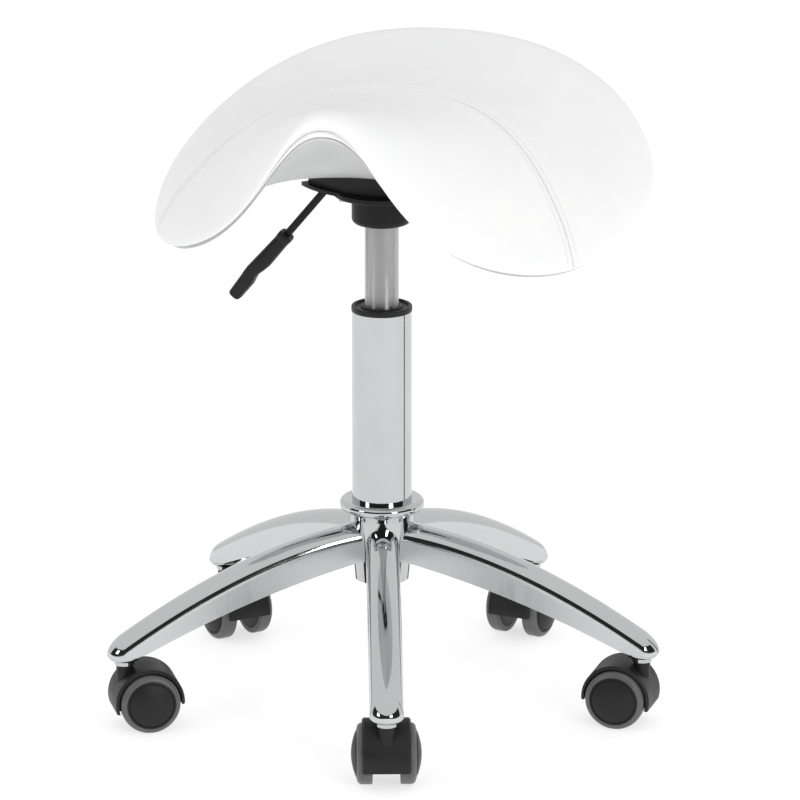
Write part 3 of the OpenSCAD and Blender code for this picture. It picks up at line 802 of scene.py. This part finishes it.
def grip_rings():
    """Sections of the grip: a collar, a body with a notch for the finger, a square end."""
    last = 1 - GRIP_END
    rounding = GRIP_END + last * np.sin(np.radians(np.linspace(12, 90, 7)))
    along = np.concatenate([np.linspace(0, GRIP_END, 56), rounding])
    marks = [0, 0.02, 0.07, 0.09, 0.44, 0.52, 0.61, 0.68, 0.74, GRIP_END, 1]
    lows = [-5.6, -6.3, -6.3, -5.9, -7.0, -7.3, -7.6, -7.3, -6.8, -5.5, -5.4]
    highs = [5.8, 6.5, 6.5, 6.0, 6.3, 5.4, 3.8, 4.6, 5.7, 5.5, 5.4]
    widths = [6.4, 7.1, 7.1, 6.6, 7.6, 7.8, 7.9, 8.0, 8.1, 8.3, 8.2]
    low, high, half_y = (np.interp(along, marks, v) for v in (lows, highs, widths))
    end = np.sqrt(np.maximum(1 - 0.4 * (np.maximum(along - GRIP_END, 0) / last) ** 2, 0.5))
    a = np.linspace(0, 2 * math.pi, 48, endpoint=False)
    y, z = spow(np.cos(a), 0.6), spow(np.sin(a), 0.6)
    rings = []
    for t, lo, hi, wy, e in zip(along, low, high, half_y, end):
        x = np.full_like(a, GRIP_START + t * GRIP_LEN)
        rings.append(np.stack([x, wy * e * y, (hi + lo) / 2 + (hi - lo) / 2 * e * z], 1))
    return rings


def build_lever_grip(mats):
    obj = rings_object("grip_paddle", grip_rings()[::-1], sharp=50)
    bend = Matrix.Translation((LEVER_BEND_X * MM, 0, LEVER_H * MM))
    slope = Matrix.Rotation(math.radians(180 - LEVER_SLOPE), 4, "Y")
    obj.data.transform(Matrix.Rotation(SEAT_TURN, 4, "Z") @ bend @ slope)
    finish_piece(obj, mats["black_plastic"], "lever", "black_plastic", "lever_grip")


def build_column_cap(mats):
    """Ring on the column: raised outer rim, a recess and an inner lip at the cylinder."""
    outside = [(CAP_BORE, 0), (24.9, 0), (25.2, 0.5)] + arc(24.2, 3.5, 1.0, 0, 90, 6)
    recess = [(22.6, 4.5), (22.0, 4.0), (21.7, 2.9), (17.6, 2.7), (17.2, 3.2)]
    lip = arc(16.4, 3.6, 0.8, 0, 90, 4) + [(14.9, 4.4), (CAP_BORE, 3.8), (CAP_BORE, 0)]
    profile = [(r, CAP_H + h) for r, h in outside + recess + lip]
    obj = turned("cap_ring", profile[::-1], 128, 30)
    finish_piece(obj, mats["black_plastic"], "base", "black_plastic", "column_cap")


# --------------------------------------------------------------------- stage
CAMERA_YAW, CAMERA_PITCH, CAMERA_FAR = -1.1, 16.65, 5.0
LIGHT_AIM, SOFTBOX = (0, 0, 0.35), 1.2
FLOOR_HALF = 30


def camera():
    pitch, yaw = math.radians(CAMERA_PITCH), math.radians(CAMERA_YAW)
    turn = Matrix.Rotation(yaw, 4, "Z")
    aim = turn @ Vector((0.015, 0, 0.2605))
    back = turn @ Vector((0, -math.cos(pitch), math.sin(pitch)))
    data = bpy.data.cameras.new("camera")
    data.sensor_width = 36
    data.lens = 271.6
    data.clip_end = 100
    cam = bpy.data.objects.new("camera", data)
    cam.location = aim + back * CAMERA_FAR
    cam.rotation_euler = (math.pi / 2 - pitch, 0, yaw)
    bpy.context.scene.collection.objects.link(cam)
    bpy.context.scene.camera = cam


def area_light(name, place, target, size, power):
    data = bpy.data.lights.new(name, "AREA")
    data.shape = "RECTANGLE"
    data.size = data.size_y = size
    data.energy = power
    obj = bpy.data.objects.new(name, data)
    obj.location = place
    obj.rotation_euler = (Vector(target) - Vector(place)).to_track_quat("-Z", "Y").to_euler()
    bpy.context.scene.collection.objects.link(obj)
    return obj


def flat_material(name, color, glow=0.0):
    """Matt material for the floor and the reflectors; glow adds light of its own."""
    s = Shader(name, Roughness=0.9)
    s.set("Base Color", s.mix(s.noise(3.0, 2.0), color, shade(color, 0.985)))
    if glow:
        s.bsdf.inputs["Emission Color"].default_value = (1, 1, 1, 1)
        s.bsdf.inputs["Emission Strength"].default_value = glow
    return s.mat


def polar(azimuth, distance, height):
    """A point at that azimuth from the camera's side, positive to its right."""
    a = math.radians(azimuth + CAMERA_YAW)
    return Vector((distance * math.sin(a), -distance * math.cos(a), height))


def reflector(obj, material):
    """A panel that only shows as a reflection in the chrome."""
    obj.data.materials.append(material)
    obj.visible_camera = False
    obj.visible_shadow = False
    obj.visible_diffuse = False
    return obj


def dark_wall(name, start, end, distance, low, high, material):
    """Curved dark wall round the camera's side, between two azimuths."""
    turns = np.linspace(start, end, 33)
    points = [polar(t, distance, low) for t in turns] + [polar(t, distance, high) for t in turns]
    n = len(turns)
    faces = [(i, i + 1, n + i + 1, n + i) for i in range(n - 1)]
    return reflector(mesh_object(name, points, faces), material)


def stage():
    """White floor and background, two softboxes and the dark reflectors."""
    h = FLOOR_HALF
    floor = mesh_object("floor", [(-h, -h, 0), (h, -h, 0), (h, h, 0), (-h, h, 0)], [(0, 1, 2, 3)])
    floor.data.materials.append(flat_material("floor_white", (0.42, 0.42, 0.42, 1), glow=0.68))
    world = bpy.data.worlds.new("studio")
    bpy.context.scene.world = world
    world.use_nodes = True
    sky = world.node_tree.nodes["Background"]
    sky.inputs["Color"].default_value = (1, 1, 1, 1)
    sky.inputs["Strength"].default_value = 0.86
    area_light("key_right", polar(35, 4.9, 2.0), LIGHT_AIM, SOFTBOX, 62)
    area_light("key_left", polar(-58, 4.9, 2.0), LIGHT_AIM, SOFTBOX, 22)
    dark = flat_material("reflector_dark", (0.012, 0.012, 0.012, 1))
    dark_wall("dark_front", -95, 88, 5.6, 0.25, 3.7, dark)
    dark_wall("dark_strip", 91.3, 96.3, 0.5, 0.0, 0.32, dark)
    bpy.context.scene.view_settings.view_transform = "Standard"


camera()
stage()
MATERIALS = make_materials()
dress_nodes(MATERIALS)
build_cushion(MATERIALS)
build_stitches(MATERIALS)
build_pan(MATERIALS)
build_cover(MATERIALS)
build_black_gap_fill(MATERIALS)
build_legs(MATERIALS)
build_tip_sockets(MATERIALS)
build_wheels(MATERIALS)
build_lever_grip(MATERIALS)
build_column_cap(MATERIALS)
